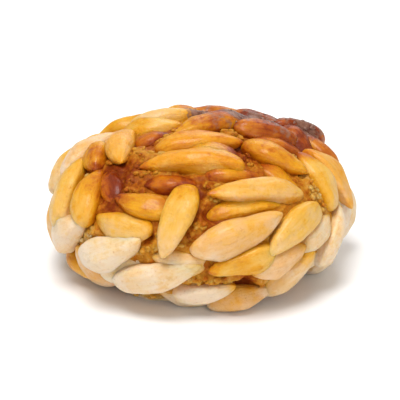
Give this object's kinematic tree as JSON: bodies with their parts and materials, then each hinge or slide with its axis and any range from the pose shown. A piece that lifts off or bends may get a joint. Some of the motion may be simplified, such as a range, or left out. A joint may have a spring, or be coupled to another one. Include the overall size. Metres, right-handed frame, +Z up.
{
  "type": "pine nut marzipan",
  "caption": "Small baked marzipan sweet: a slumped, flattened ball of almond paste covered all over in glazed, toasted pine nuts, on a flat base.",
  "frame": {"origin": "the middle of the flat base that the sweet rests on", "axes": "+Z up out of the base, +X to the right and -Y towards the eye in the picture's view"},
  "size_m": [0.0434, 0.0401, 0.0221],
  "materials": {
    "glazed_sweet": "baked almond paste and pine nuts under a thin egg glaze",
    "toasted_pine_nut": "toasted kernels, cream to amber, satin to glossy",
    "almond_paste": "grainy baked paste, browned and glazed between the kernels",
    "burnt_glaze": "scorched sugar and egg glaze, dark brown, glossy in places"
  },
  "bodies": {
    "root": {"pine_nut_marzipan": "glazed_sweet"}
  },
  "joints": []
}
